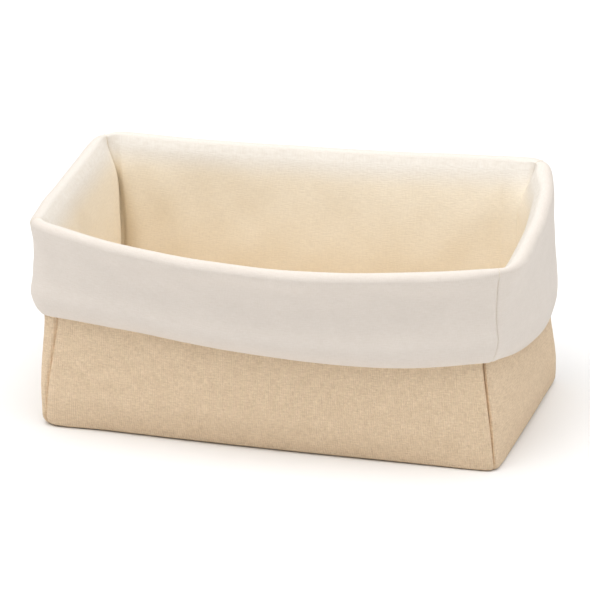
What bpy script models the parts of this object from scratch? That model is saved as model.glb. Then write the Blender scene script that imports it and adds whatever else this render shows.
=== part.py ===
"""Fabric storage bin.

A soft open-topped bag made of two cloth layers with wadding between them: a ribbed beige knit shell
outside and a cream jersey lining inside. A stiff board lies in the floor. The top of the bag is
turned down outside, so the lining shows as a padded cream cuff. Turning the cuff back up is the one
motion of the bin: the cuff's layers move on the z axis.

Units are millimetres up to the mesh builder, which turns them into metres. +X is the bin's right,
-Y its front, +Z up, and the origin is at the middle of the floor's underside.

Every piece is described in wall coordinates. A side is one of the four walls, c runs along it from
-1 at one corner seam to 1 at the next, z is the height, and d is the distance outwards from the
shell's outer face.
"""

import math

import bmesh
import bpy
from mathutils import Vector

MM = 0.001

# Sides and corners go round the bin as seen from above: a side runs from its own corner to the next.
SIDES = ("front", "right", "back", "left")
CORNERS = ("front_left", "front_right", "back_right", "back_left")

# The floor's outline. The cloth is soft, so at every level each side bows out between its corners.
BASE_WIDTH, BASE_DEPTH = 320.0, 182.0
BASE_BOW = (4.0, 2.0, 3.0, 5.0)
BASE_RADIUS = 10.0

# The waist, just under the cuff's hem, at a share of the height. Most corners lean in a little.
WAIST_CORNERS = ((-156.0, -89.0), (153.0, -89.5), (150.5, 90.0), (-160.0, 88.0))
WAIST_BOW = (11.0, 8.0, 8.0, 9.0)
WAIST_RADIUS = 6.0
WAIST_SHARE = 0.51
FLARE_POWER = 1.6

# The crest is the middle of the roll that the bag's top turns over. It is pulled askew, so each
# corner has its own place and height, and each side sags between its corners.
CREST_CORNERS = ((-161.0, -93.5, 145.5), (167.0, -98.5, 145.5), (145.5, 102.0, 153.0), (-169.5, 86.0, 149.5))
CREST_BOW = (21.0, 7.5, 12.5, 6.5)
CREST_SAG = (11.0, 3.5, 7.0, 6.5)
CREST_RADIUS = 12.0

# The hem is the cuff's lower edge. It hangs lowest, and closest to the wall, at the back right.
HEM_CORNERS = (82.0, 80.0, 62.0, 78.0)
HEM_SAG = (9.0, 7.0, 3.0, 1.0)
HEM_PROUD = (9.5, 9.5, 6.5, 9.5)
HEM_TURN_UP = 8.0
CUFF_PUFF = 1.2

# Cloth, wadding and board, from the outside in. GAP is the clearance between neighbours.
GAP = 0.3
CLOTH = 1.0
WADDING = 2.4
BOARD = 3.0
SHELL_IN = -CLOTH
WADDING_OUT = SHELL_IN - GAP
WADDING_IN = WADDING_OUT - WADDING
LINING_OUT = WADDING_IN - GAP
LINING_IN = LINING_OUT - CLOTH

# The roll over the crest, and the layers that hang from it outside.
ROLL_OUT = 5.65
ROLL_MIDDLE = (ROLL_OUT + LINING_IN) / 2.0
ROLL_RADIUS = (ROLL_OUT - LINING_IN) / 2.0
WALL_TOP_DROP = 7.0
ROLL_START_DROP = WALL_TOP_DROP - 1.3 * GAP
BACKING_IN = 0.8
BACKING_OUT = BACKING_IN + CLOTH
BACKING_CREST_DROP = 2.5
HEM_LEG = 3.3

# Thread, and the room that the corner seams leave between two panels.
THREAD = 0.8
SEAM_HALF = 0.8

BOARD_BOTTOM = CLOTH + 1.5 * GAP
BOARD_TOP = BOARD_BOTTOM + BOARD
INSIDE_FLOOR = BOARD_TOP + GAP

# Where the columns and rows of a panel's grid lie. Each panel has one close column near each seam.
COLUMNS = {"front": 10, "back": 10, "right": 6, "left": 6}
CLOSE_COLUMN = {"front": 0.965, "back": 0.965, "right": 0.94, "left": 0.94}
WALL_ROWS = (0.25, WAIST_SHARE, 0.67, 0.82)
HANG_ROWS = (0.35, 0.7, 1.0)
ROLL_STEPS = 4
HEM_STEPS = 3
FOLD_STEPS = 2
TANGENT_STEP = 0.002
PANEL_END_FROM = 0.8
PANEL_END_HALVINGS = 18
SMOOTH_ANGLE_DEG = 40.0

# The cuff's parent stands on the axis that the cuff moves along, at the height of the crest.
CUFF_HEIGHT = 150.0

# Base colour and roughness of each finish.
FINISHES = {
    "shell": ((0.72, 0.56, 0.38, 1.0), 0.95),
    "lining": ((0.87, 0.81, 0.72, 1.0), 0.92),
    "wadding": ((0.92, 0.92, 0.90, 1.0), 1.0),
    "board": ((0.48, 0.36, 0.24, 1.0), 0.85),
    "thread": ((0.80, 0.72, 0.60, 1.0), 0.8),
}


def clear_scene():
    for obj in list(bpy.data.objects):
        bpy.data.objects.remove(obj, do_unlink=True)


def mix(a, b, share):
    return a + (b - a) * share


# ---------------------------------------------------------------- the wall surface


def base_corner(corner):
    right = corner in (1, 2)
    back = corner in (2, 3)
    return Vector((BASE_WIDTH / 2 if right else -BASE_WIDTH / 2, BASE_DEPTH / 2 if back else -BASE_DEPTH / 2))


def by_height(share, base, waist, crest):
    """A value that goes straight from the base to the waist and then flares out to the crest."""
    if share < WAIST_SHARE:
        return mix(base, waist, share / WAIST_SHARE)
    above = min(1.0, (share - WAIST_SHARE) / (1.0 - WAIST_SHARE))
    return mix(waist, crest, above**FLARE_POWER)


def corner_at(corner, share):
    return by_height(share, base_corner(corner), Vector(WAIST_CORNERS[corner]), Vector(CREST_CORNERS[corner][:2]))


def crest_height(side, c):
    start = CREST_CORNERS[side][2]
    end = CREST_CORNERS[(side + 1) % 4][2]
    return mix(start, end, (c + 1) / 2) - CREST_SAG[side] * (1 - c * c)


def hem_height(side, c):
    start = HEM_CORNERS[side]
    end = HEM_CORNERS[(side + 1) % 4]
    return mix(start, end, (c + 1) / 2) - HEM_SAG[side] * (1 - c * c)


def hem_proud(side, c):
    return mix(HEM_PROUD[side], HEM_PROUD[(side + 1) % 4], (c + 1) / 2)


def fold_radius(side, c):
    """The hem folds under, and its turned-up leg stands HEM_LEG out from the wall."""
    return (hem_proud(side, c) - HEM_LEG) / 2


def bowed(side, c, share):
    """A point of the side's bowed line, before its corners are rounded, and the line's direction."""
    start = corner_at(side, share)
    end = corner_at((side + 1) % 4, share)
    bow = by_height(share, BASE_BOW[side], WAIST_BOW[side], CREST_BOW[side])
    along = end - start
    out = Vector((along.y, -along.x)).normalized()
    point = mix(start, end, (c + 1) / 2) + out * bow * (1 - c * c)
    return point, along / 2 - out * bow * 2 * c


def crossing(p, p_way, q, q_way):
    """Where two lines in the plan cross."""
    gap = q - p
    return p + p_way * (gap.cross(q_way) / p_way.cross(q_way))


def plan_point(side, c, share):
    """A point of the rounded outline. The end of a side is half of the corner's curve."""
    radius = by_height(share, BASE_RADIUS, WAIST_RADIUS, CREST_RADIUS)
    start = corner_at(side, share)
    end = corner_at((side + 1) % 4, share)
    half = (end - start).length / 2
    from_corner = (1 - abs(c)) * half
    if from_corner >= radius:
        return bowed(side, c, share)[0]
    sign = 1 if c > 0 else -1
    other = (side + sign) % 4
    other_ends = corner_at(other, share), corner_at((other + 1) % 4, share)
    other_half = (other_ends[1] - other_ends[0]).length / 2
    mine, my_way = bowed(side, sign * (1 - radius / half), share)
    theirs, their_way = bowed(other, -sign * (1 - radius / other_half), share)
    middle = crossing(mine, my_way, theirs, their_way)
    t = 0.5 + 0.5 * from_corner / radius
    return theirs * (1 - t) ** 2 + middle * 2 * t * (1 - t) + mine * t**2


def level_point(side, c, z):
    return plan_point(side, c, z / crest_height(side, c))


def way_along(side, c, z):
    low = max(-1.0, c - TANGENT_STEP)
    high = min(1.0, c + TANGENT_STEP)
    return (level_point(side, high, z) - level_point(side, low, z)).normalized()


def corner_way(corner, z):
    """The direction round the bin at a corner seam, the mean of its two sides."""
    return (way_along(corner, -1.0, z) + way_along((corner - 1) % 4, 1.0, z)).normalized()


def wall_point(side, c, d, z):
    if abs(c) < 1:
        way = way_along(side, c, z)
    else:
        way = corner_way(side if c < 0 else (side + 1) % 4, z)
    plan = level_point(side, c, z) + Vector((way.y, -way.x)) * d
    return Vector((plan.x, plan.y, z))


def panel_end(side, sign, d, z):
    """The c at which a panel stops, so that it leaves SEAM_HALF to the corner seam."""
    seam = wall_point(side, sign, d, z)
    way = corner_way(side if sign < 0 else (side + 1) % 4, z)
    near, far = PANEL_END_FROM, 1.0
    for _ in range(PANEL_END_HALVINGS):
        c = (near + far) / 2
        room = abs((wall_point(side, sign * c, d, z) - seam).xy.dot(way))
        near, far = (c, far) if room > SEAM_HALF else (near, c)
    return near


def columns(side):
    """Shares of the half panel, closer together where the corner curves."""
    count = COLUMNS[SIDES[side]]
    close = CLOSE_COLUMN[SIDES[side]]
    even = [-1 + 2 * k / count for k in range(1, count)]
    return [-1.0, -close] + even + [close, 1.0]


# ---------------------------------------------------------------- profiles of the layers


def wall_profile(outer, inner, bottom):
    """A layer that stands from the floor to just under the roll."""

    def profile(side, c):
        crest = crest_height(side, c)
        heights = [bottom] + [share * crest for share in WALL_ROWS] + [crest - WALL_TOP_DROP]
        return [((outer, z), (inner, z)) for z in heights]

    return profile


def arc(middle, radius, start_deg, end_deg, steps):
    angles = (math.radians(mix(start_deg, end_deg, k / steps)) for k in range(steps + 1))
    return [(middle[0] + radius * math.cos(a), middle[1] + radius * math.sin(a)) for a in angles]


def hanging_face(side, c, v):
    """How far the cuff's face stands out at share v of the way from the roll to the hem."""
    return mix(ROLL_OUT, hem_proud(side, c), v * v * (3 - 2 * v)) + CUFF_PUFF * math.sin(math.pi * v)


def fold_height(side, c):
    """The height of the middle of the hem's fold."""
    return hem_height(side, c) + fold_radius(side, c)


def face_profile(side, c):
    """The cream face: up inside, over the roll, down to the hem, under it and a little way up."""
    crest = crest_height(side, c)
    hem = fold_height(side, c)
    roll = (ROLL_MIDDLE, crest)
    outer = [(LINING_IN, crest - ROLL_START_DROP)]
    inner = [(LINING_IN + CLOTH, crest - ROLL_START_DROP)]
    outer += arc(roll, ROLL_RADIUS, 180, 0, ROLL_STEPS)
    inner += arc(roll, ROLL_RADIUS - CLOTH, 180, 0, ROLL_STEPS)
    for v in HANG_ROWS[:-1]:
        outer.append((hanging_face(side, c, v), mix(crest, hem, v)))
        inner.append((hanging_face(side, c, v) - CLOTH, mix(crest, hem, v)))
    radius = fold_radius(side, c)
    fold = (HEM_LEG + radius, hem)
    outer += arc(fold, radius, 0, -180, HEM_STEPS)
    inner += arc(fold, radius - CLOTH, 0, -180, HEM_STEPS)
    outer.append((HEM_LEG, hem + HEM_TURN_UP))
    inner.append((HEM_LEG + CLOTH, hem + HEM_TURN_UP))
    return list(zip(outer, inner))


def cuff_wadding_profile(side, c):
    """Wadding over the roll and down behind the face, ending above the hem's turned-up leg."""
    crest = crest_height(side, c)
    hem = fold_height(side, c)
    roll = (ROLL_MIDDLE, crest)
    out_radius = ROLL_RADIUS - CLOTH - GAP
    in_radius = BACKING_OUT + GAP - ROLL_MIDDLE
    outer = [(ROLL_MIDDLE - out_radius, crest - ROLL_START_DROP)]
    inner = [(ROLL_MIDDLE - in_radius, crest - ROLL_START_DROP)]
    outer += arc(roll, out_radius, 180, 0, ROLL_STEPS)
    inner += arc(roll, in_radius, 180, 0, ROLL_STEPS)
    for v in HANG_ROWS[:-1]:
        z = mix(crest, hem, v)
        outer.append((hanging_face(side, c, v) - CLOTH - GAP, z))
        inner.append((BACKING_OUT + GAP, z))
    return list(zip(outer, inner))


def backing_profile(side, c):
    """The shell's own top: over the core of the roll and down behind the wadding."""
    crest = crest_height(side, c)
    hem = fold_height(side, c)
    top = crest - BACKING_CREST_DROP
    middle = BACKING_IN / 2
    fold = (middle, top)
    out_radius = BACKING_OUT - middle
    in_radius = BACKING_IN - middle
    outer = [(middle - out_radius, crest - ROLL_START_DROP)]
    inner = [(middle - in_radius, crest - ROLL_START_DROP)]
    outer += arc(fold, out_radius, 180, 0, FOLD_STEPS)
    inner += arc(fold, in_radius, 180, 0, FOLD_STEPS)
    bottom = hem + HEM_TURN_UP / 2 + THREAD + GAP
    for v in HANG_ROWS:
        z = mix(top, bottom, v)
        outer.append((BACKING_OUT, z))
        inner.append((BACKING_IN, z))
    return list(zip(outer, inner))


def hem_thread_section(side, c):
    """The seam that joins the lining to the shell behind the hem."""
    return square_section(HEM_LEG - 1.5 * GAP, fold_height(side, c) + HEM_TURN_UP / 2)


def square_section(out, z):
    return [(out, z), (out, z + THREAD), (out - THREAD, z + THREAD), (out - THREAD, z)]


# ---------------------------------------------------------------- meshes


def make_object(name, points, faces, finish, parent):
    """One closed body, with its faces turned outwards and its own material."""
    mesh = bpy.data.meshes.new(name)
    shape = bmesh.new()
    corners = [shape.verts.new((point * MM) - parent.location) for point in points]
    for face in faces:
        shape.faces.new([corners[k] for k in face])
    bmesh.ops.recalc_face_normals(shape, faces=shape.faces)
    shape.to_mesh(mesh)
    shape.free()
    mesh.shade_smooth()
    mesh.set_sharp_from_angle(angle=math.radians(SMOOTH_ANGLE_DEG))
    obj = bpy.data.objects.new(name, mesh)
    obj.parent = parent
    bpy.context.collection.objects.link(obj)
    mesh.materials.append(make_material(name, finish))
    return obj


def make_material(name, finish):
    colour, roughness = FINISHES[finish]
    material = bpy.data.materials.new(name)
    material.use_nodes = True
    shader = material.node_tree.nodes["Principled BSDF"]
    shader.inputs["Base Color"].default_value = colour
    shader.inputs["Roughness"].default_value = roughness
    shader.inputs["Metallic"].default_value = 0.0
    material.diffuse_color = colour
    return material


def quad(a, b, c, d):
    """Two triangles that meet on the diagonal from a to c."""
    return [(a, b, c), (a, c, d)]


def skin_faces(rings, round_count, closed):
    """Triangles over rings of round_count points, whose first half is outside and second half inside.

    Both halves take the same diagonal as seen from outside, so that neighbouring layers stay parallel.
    """
    faces = []
    last = rings if closed else rings - 1
    for ring in range(last):
        here = ring * round_count
        there = ((ring + 1) % rings) * round_count
        for k in range(round_count):
            after = (k + 1) % round_count
            around = (here + k, there + k, there + after, here + after)
            faces += quad(*around) if k < round_count // 2 else quad(*around[1:], around[0])
    return faces


def strip_cap(start, rows):
    """The end of a strip whose ring runs up the outer side and back down the inner side."""
    faces = []
    for k in range(rows - 1):
        faces += quad(start + k, start + k + 1, start + 2 * rows - 2 - k, start + 2 * rows - 1 - k)
    return faces


def loop_of(pairs):
    """A profile's outer points up, then its inner points back down."""
    return [outer for outer, _ in pairs] + [inner for _, inner in reversed(pairs)]


def strip(name, rings, finish, parent):
    """A closed strip from rings of points, each made by loop_of."""
    count = len(rings[0])
    faces = skin_faces(len(rings), count, closed=False)
    faces += strip_cap(0, count // 2)
    faces += strip_cap((len(rings) - 1) * count, count // 2)
    points = [point for ring in rings for point in ring]
    return make_object(name, points, faces, finish, parent)


def panel(name, side, profile, finish, parent):
    """A curved panel from one corner seam to the next."""
    rings = []
    for share in columns(side):
        sign = 1 if share > 0 else -1
        ring = []
        for d, z in loop_of(profile(side, share)):
            ring.append(wall_point(side, share * panel_end(side, sign, d, z), d, z))
        rings.append(ring)
    return strip(name, rings, finish, parent)


def corner_seam(name, corner, profile, finish, parent):
    """A line of thread down a corner, between the ends of two panels."""
    section = loop_of(profile(corner, -1.0))
    rings = []
    for sideways in (-THREAD / 2, THREAD / 2):
        ring = []
        for d, z in section:
            way = corner_way(corner, z)
            ring.append(wall_point(corner, -1.0, d, z) + Vector((way.x, way.y, 0)) * sideways)
        rings.append(ring)
    return strip(name, rings, finish, parent)


def loop_stations():
    """Points all the way round the bin, one for each corner."""
    stations = []
    for side in range(4):
        stations += [(side, c) for c in columns(side)[:-1]]
    return stations


def ring_seam(name, section, finish, parent):
    """A closed line of thread round the bin."""
    stations = loop_stations()
    points = []
    for side, c in stations:
        points += [wall_point(side, c, d, z) for d, z in section(side, c)]
    count = len(section(0, 0.0))
    return make_object(name, points, skin_faces(len(stations), count, closed=True), finish, parent)


def plate(name, edge, bottom, top, finish, parent):
    """A flat piece of the floor that follows the walls at distance edge."""
    stations = loop_stations()
    count = len(stations)
    points = [wall_point(side, c, edge, z) for z in (bottom, top) for side, c in stations]
    faces = [tuple(range(count)), tuple(range(count, 2 * count))]
    for k in range(count):
        after = (k + 1) % count
        faces += quad(k, after, count + after, count + k)
    return make_object(name, points, faces, finish, parent)


# ---------------------------------------------------------------- the bin's pieces


def make_empty(name, height):
    empty = bpy.data.objects.new(name, None)
    empty.location = (0.0, 0.0, height * MM)
    bpy.context.collection.objects.link(empty)
    return empty


def make_shell(basket):
    profile = wall_profile(0.0, SHELL_IN, 0.0)
    for side, word in enumerate(SIDES):
        panel(f"outer_{word}_panel", side, profile, "shell", basket)
    for corner, word in enumerate(CORNERS):
        thread = wall_profile(SHELL_IN + THREAD, SHELL_IN, THREAD)
        corner_seam(f"outer_{word}_seam", corner, thread, "thread", basket)
    thread_out = SHELL_IN - GAP
    plate("outer_base_panel", thread_out - THREAD - GAP, 0.0, CLOTH, "shell", basket)
    ring_seam("outer_base_seam", lambda side, c: square_section(thread_out, CLOTH - THREAD), "thread", basket)


def make_stiffening(basket):
    plate("base_board", WADDING_OUT, BOARD_BOTTOM, BOARD_TOP, "board", basket)
    profile = wall_profile(WADDING_OUT, WADDING_IN, INSIDE_FLOOR)
    for side, word in enumerate(SIDES):
        panel(f"{word}_wadding", side, profile, "wadding", basket)


def make_lining(basket):
    profile = wall_profile(LINING_OUT, LINING_IN, INSIDE_FLOOR)
    for side, word in enumerate(SIDES):
        panel(f"lining_{word}_panel", side, profile, "lining", basket)
    for corner, word in enumerate(CORNERS):
        thread = wall_profile(LINING_IN + THREAD, LINING_IN, INSIDE_FLOOR + THREAD)
        corner_seam(f"lining_{word}_seam", corner, thread, "thread", basket)
    thread_out = LINING_IN - GAP
    top = INSIDE_FLOOR + CLOTH
    plate("lining_base_panel", thread_out - THREAD - GAP, INSIDE_FLOOR, top, "lining", basket)
    ring_seam("lining_base_seam", lambda side, c: square_section(thread_out, top - THREAD), "thread", basket)


def make_cuff(cuff):
    for side, word in enumerate(SIDES):
        panel(f"cuff_{word}", side, face_profile, "lining", cuff)
        panel(f"cuff_{word}_wadding", side, cuff_wadding_profile, "wadding", cuff)
        panel(f"cuff_{word}_backing", side, backing_profile, "shell", cuff)
    for corner, word in enumerate(CORNERS):
        corner_seam(f"cuff_{word}_seam", corner, face_profile, "thread", cuff)
    ring_seam("cuff_hem_seam", hem_thread_section, "thread", cuff)


def main():
    clear_scene()
    basket = make_empty("basket", 0.0)
    cuff = make_empty("cuff", CUFF_HEIGHT)
    make_shell(basket)
    make_stiffening(basket)
    make_lining(basket)
    make_cuff(cuff)


main()
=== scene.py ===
"""Looks of the fabric storage bin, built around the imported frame.

The bin is a soft bag of two cloths with wadding between them. Each cloth is one surface that runs up
the wall, over the crest and down again outside as the cuff. It is cut here at two heights, because
the wall stretches and the hanging part of the cuff shortens when the cuff is turned up.

A loop coordinate u goes round the bin: 0 at the front left corner, 1 front right, 2 back right and
3 back left. d is the distance outwards from the shell's outer face, and z is the height. Lengths are
in millimetres until a mesh is made.
"""

import math

import bpy
import numpy as np
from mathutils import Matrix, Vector


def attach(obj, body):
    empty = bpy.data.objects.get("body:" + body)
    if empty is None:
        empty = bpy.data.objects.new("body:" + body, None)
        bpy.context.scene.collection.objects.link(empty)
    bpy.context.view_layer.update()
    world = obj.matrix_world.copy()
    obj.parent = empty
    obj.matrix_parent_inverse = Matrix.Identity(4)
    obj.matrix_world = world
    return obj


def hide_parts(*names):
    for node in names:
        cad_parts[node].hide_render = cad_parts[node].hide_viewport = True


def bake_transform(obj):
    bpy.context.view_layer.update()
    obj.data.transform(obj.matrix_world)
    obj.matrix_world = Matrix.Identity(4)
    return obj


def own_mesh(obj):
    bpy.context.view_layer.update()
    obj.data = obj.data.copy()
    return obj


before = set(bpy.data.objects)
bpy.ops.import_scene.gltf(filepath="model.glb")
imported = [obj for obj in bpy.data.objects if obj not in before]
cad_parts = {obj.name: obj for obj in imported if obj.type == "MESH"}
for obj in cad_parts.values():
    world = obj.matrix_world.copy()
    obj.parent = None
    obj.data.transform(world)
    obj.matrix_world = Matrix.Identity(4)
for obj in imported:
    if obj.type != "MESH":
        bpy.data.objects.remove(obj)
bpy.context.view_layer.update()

MM = 0.001
SIDES = ("front", "right", "back", "left")
CORNERS = ("front_left", "front_right", "back_right", "back_left")

# The wall, as the CAD has it: corner points in the plan, and how far each side bows out.
BASE_POINTS = np.array([(-160.0, -91.0), (160.0, -91.0), (160.0, 91.0), (-160.0, 91.0)])
WAIST_POINTS = np.array([(-156.0, -89.0), (153.0, -89.5), (150.5, 90.0), (-160.0, 88.0)])
CREST_POINTS = np.array([(-161.0, -93.5), (167.0, -98.5), (145.5, 102.0), (-169.5, 86.0)])
BASE_BOW = np.array([4.0, 2.0, 3.0, 5.0])
WAIST_BOW = np.array([11.0, 8.0, 8.0, 9.0])
CREST_BOW = np.array([21.0, 7.5, 12.5, 6.5])
CORNER_RADII = (10.0, 6.0, 12.0)
WAIST_SHARE = 0.51
FLARE_POWER = 1.6

# Heights of the crest and of the hem at the corners, their sag between them, and the hem's skew.
CREST_HEIGHTS = np.array([145.5, 145.5, 153.0, 149.5])
CREST_SAG = np.array([11.0, 3.5, 7.0, 6.5])
CREST_NOTCH = np.array([0.2, 0.5, 0.5, 1.2])
HEM_HEIGHTS = np.array([82.0, 80.0, 62.0, 78.0])
HEM_SAG = np.array([9.0, 7.0, 3.0, 1.0])
HEM_SKEW = np.array([0.78, 0.0, 0.0, 0.0])
HEM_PROUD = np.array([7.4, 7.6, 6.2, 8.0])
HEM_BULGE = np.array([4.6, 3.0, 1.6, 2.4])
NOTCH_WIDTH = 5.0
# How much thinner the rolled crest is where a seam pulls it together.
PINCH = np.array([0.6, 2.6, 3.0, 2.8])
PINCH_WIDTH = 12.0
CORNER_SOFTENING = 7.0

# Layers through the wall, from the outside in.
CLOTH = 1.0
GAP = 0.3
FOOT_GAP = 0.15
WADDING_OUT, WADDING_IN = -1.3, -3.0
LINING_IN = -5.0
ROLL_OUT = 5.65
ROLL_MIDDLE = (ROLL_OUT + LINING_IN) / 2
ROLL_RADIUS = (ROLL_OUT - LINING_IN) / 2
QUARTER_ROLL = ROLL_RADIUS * math.pi / 2
ROLL_START_DROP = 6.6
ROLL_TURN = math.radians(146)
PINCH_RISE = 0.85
WADDING_IN_ROLL = 1.2
LINING_DROP = 1.0
BACKING_IN, BACKING_DROP = 0.4, 2.6
LEAST_CUFF = BACKING_IN + 2 * CLOTH + 0.8
HEM_LEG = 2.8
HEM_TOUCH = 1.0
HEM_RADIUS = 1.3
HEM_TURN = math.radians(50)
HEM_TURN_UP = 8.0
HEM_HIDDEN = HEM_TURN_UP / 2 + 2.5
FLOOR_TOP = 5.75
CUT_HEIGHT = 127.0

# How far the soft wall bellies out above its foot, leans in below, and fills its left corners.
BELLY, BELLY_HEIGHT, BELLY_WIDTH = 3.2, 24.0, 26.0
LEAN, LEAN_LOST_AT_LEFT, LEFT_WIDTH = 4.6, 0.85, 24.0
STIFF_FRONT_RIGHT, STIFF_WIDTH = 0.8, 45.0
STIFF_BACK, STIFF_BACK_WIDTH = (0.0, 0.0, 0.7, 0.7), 26.0
FULL_FRONT_LEFT, FULL_WIDTH = 2.6, 26.0
FULL_BACK_LEFT, FULL_BACK_WIDTH = 5.0, 34.0
LINING_STAYS = 0.85

# The rounded foot of the shell, and of the lining inside.
EDGE_RADIUS = 3.0
EDGE_RADIUS_AT_CORNER = np.array([7.0, 4.2, 5.0, 6.5])
EDGE_CORNER_WIDTH = 14.0
FILLET = 3.2

# The cuff's face: hollow under the crest, a dent beside the front right seam, curled in at the hem.
HOLLOW = 2.1
DENT, DENT_PLACE, DENT_WIDTH = 1.3, -44.0, 17.0
FULL_CUFF, FULL_CUFF_WIDTH = 2.0, 34.0
CURL_FROM, CURL_REACH = 0.77, 0.92
BEHIND_CUFF = 1.6

# The lining: how far the wadding holds it inwards, how it bridges a corner, how deep it can be set.
PADDING, PADDING_LENGTH, PADDING_ABOVE = 7.5, 13.0, 3.0
BRIDGE, BRIDGE_ON_BACK, BRIDGE_ON_RIGHT = 12.0, 29.0, 40.0
DEEPEST = 2.6

STITCH = 3.2
THREAD_RADIUS, FINE_THREAD_RADIUS = 0.42, 0.3
TUBE_SIDES = 6

# Widths of a panel's columns, and where its close columns stand beside each seam.
COARSE_COLUMN, FINE_COLUMN = 9.0, 3.0
CLOSE_COLUMNS = np.array([0.0, 0.1, 0.35, 0.75, 1.2, 1.7, 2.3, 3.1, 4.2, 5.6, 7.4, 9.6, 12.2])
LOOP_SAMPLES = 400
LOOP = np.arange(4 * LOOP_SAMPLES) / LOOP_SAMPLES


# ---------------------------------------------------------------- the wall surface


def by_height(share, base, waist, crest):
    """A value that goes straight from the base to the waist and then flares out to the crest."""
    low = np.clip(share / WAIST_SHARE, 0.0, 1.0)
    above = np.clip((share - WAIST_SHARE) / (1 - WAIST_SHARE), 0.0, 1.0) ** FLARE_POWER
    return base + (waist - base) * low + (crest - waist) * above


def corner_at(corner, share):
    corner = corner % 4
    return by_height(share[:, None], BASE_POINTS[corner], WAIST_POINTS[corner], CREST_POINTS[corner])


def bowed(side, c, share):
    """A point of the side's bowed line before its corners are rounded, and the line's direction."""
    start = corner_at(side, share)
    along = corner_at(side + 1, share) - start
    out = np.stack([along[:, 1], -along[:, 0]], 1)
    out /= np.linalg.norm(out, axis=1)[:, None]
    bow = by_height(share, BASE_BOW[side % 4], WAIST_BOW[side % 4], CREST_BOW[side % 4])
    point = start + along * ((c + 1) / 2)[:, None] + out * (bow * (1 - c * c))[:, None]
    return point, along / 2 - out * (bow * 2 * c)[:, None]


def cross(a, b):
    return a[:, 0] * b[:, 1] - a[:, 1] * b[:, 0]


def outline(u, share):
    """Plan points of the rounded outline."""
    side = np.floor(u).astype(int)
    c = 2 * (u - side) - 1
    radius = by_height(share, *CORNER_RADII)
    half = np.linalg.norm(corner_at(side + 1, share) - corner_at(side, share), axis=1) / 2
    past_corner = (1 - np.abs(c)) * half
    sign = np.where(c > 0, 1, -1)
    other = side + sign
    other_half = np.linalg.norm(corner_at(other + 1, share) - corner_at(other, share), axis=1) / 2
    mine, my_way = bowed(side, sign * (1 - radius / half), share)
    theirs, their_way = bowed(other, -sign * (1 - radius / other_half), share)
    middle = mine + my_way * (cross(theirs - mine, their_way) / cross(my_way, their_way))[:, None]
    t = (0.5 + 0.5 * np.minimum(past_corner / radius, 1.0))[:, None]
    rounded = theirs * (1 - t) ** 2 + middle * 2 * t * (1 - t) + mine * t**2
    return np.where((past_corner < radius)[:, None], rounded, bowed(side, c, share)[0])


def softened(values, width=CORNER_SOFTENING):
    """Values smoothed round the loop so that nothing breaks at a corner."""
    spread = width / SIDE_LENGTHS.mean() * LOOP_SAMPLES
    reach = int(4 * spread)
    weights = np.exp(-0.5 * (np.arange(-reach, reach + 1) / spread) ** 2)
    padded = np.concatenate([values[-reach:], values, values[:reach]])
    return np.convolve(padded, weights / weights.sum(), mode="valid")


def between_corners(values, sag, skew=np.zeros(4)):
    """A line round the loop at LOOP, from the values at its corners and the sag between them."""
    side = LOOP.astype(int)
    c = 2 * (LOOP - side) - 1
    start, end = values[side], values[(side + 1) % 4]
    return softened(start + (end - start) * (c + 1) / 2 - sag[side] * (1 - c * c) * (1 + skew[side] * c))


def lookup(values, u):
    return np.interp(u, LOOP, values, period=4)


SIDE_LENGTHS = np.linalg.norm(np.roll(WAIST_POINTS, -1, axis=0) - WAIST_POINTS, axis=1)
LOOP_LENGTH = SIDE_LENGTHS.sum()
CORNER_PLACES = np.concatenate([[0.0], np.cumsum(SIDE_LENGTHS)])


def place_of(u):
    """Millimetres along the loop."""
    turns = np.floor(u / 4)
    return turns * LOOP_LENGTH + np.interp(u - 4 * turns, np.arange(5), CORNER_PLACES)


def u_of(place):
    turns = np.floor(place / LOOP_LENGTH)
    return 4 * turns + np.interp(place - turns * LOOP_LENGTH, CORNER_PLACES, np.arange(5))


def from_corner(place, corner):
    """Signed distance along the loop from a corner."""
    away = place - CORNER_PLACES[corner]
    return (away + LOOP_LENGTH / 2) % LOOP_LENGTH - LOOP_LENGTH / 2


def near(distance, width):
    return np.exp(-((distance / width) ** 2))


def at_corners(values, place, width):
    """A sum of four values, each strongest at its corner and fading out beside it."""
    return sum(values[k] * near(from_corner(place, k), width) for k in range(4))


def pinch(place):
    return at_corners(PINCH, place, PINCH_WIDTH)


CREST = between_corners(CREST_HEIGHTS, CREST_SAG) - at_corners(CREST_NOTCH, place_of(LOOP), NOTCH_WIDTH)
HEM = between_corners(HEM_HEIGHTS, HEM_SAG, HEM_SKEW)
PROUD = between_corners(HEM_PROUD, -HEM_BULGE)
# 1 where the cuff slopes outwards from its crest, 0 where it hangs straight down.
SLOPING = softened(np.array([0.0, 1.0, 0.2, 0.5])[LOOP.astype(int)], 20.0)


def wall_points(u, d, z):
    """Points in space, from the loop coordinate, the distance outwards and the height."""
    share = z / lookup(CREST, u)
    step = 0.001
    way = outline(u + step, share) - outline(u - step, share)
    way /= np.linalg.norm(way, axis=1)[:, None]
    plan = outline(u, share) + np.stack([way[:, 1], -way[:, 0]], 1) * d[:, None]
    return np.concatenate([plan, z[:, None]], 1)


# ---------------------------------------------------------------- softness of the cloth


def waves(seed, count, shortest, longest, steepness):
    """A bundle of gentle waves that closes round the loop. Longer waves are higher."""
    rng = np.random.default_rng(seed)
    made = []
    for _ in range(count):
        length = math.exp(rng.uniform(math.log(shortest), math.log(longest)))
        angle = rng.uniform(0, math.pi)
        turns = round(LOOP_LENGTH / length * math.cos(angle))
        made.append((turns, math.sin(angle) / length, rng.uniform(0, 2 * math.pi), steepness * length))
    return made


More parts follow.
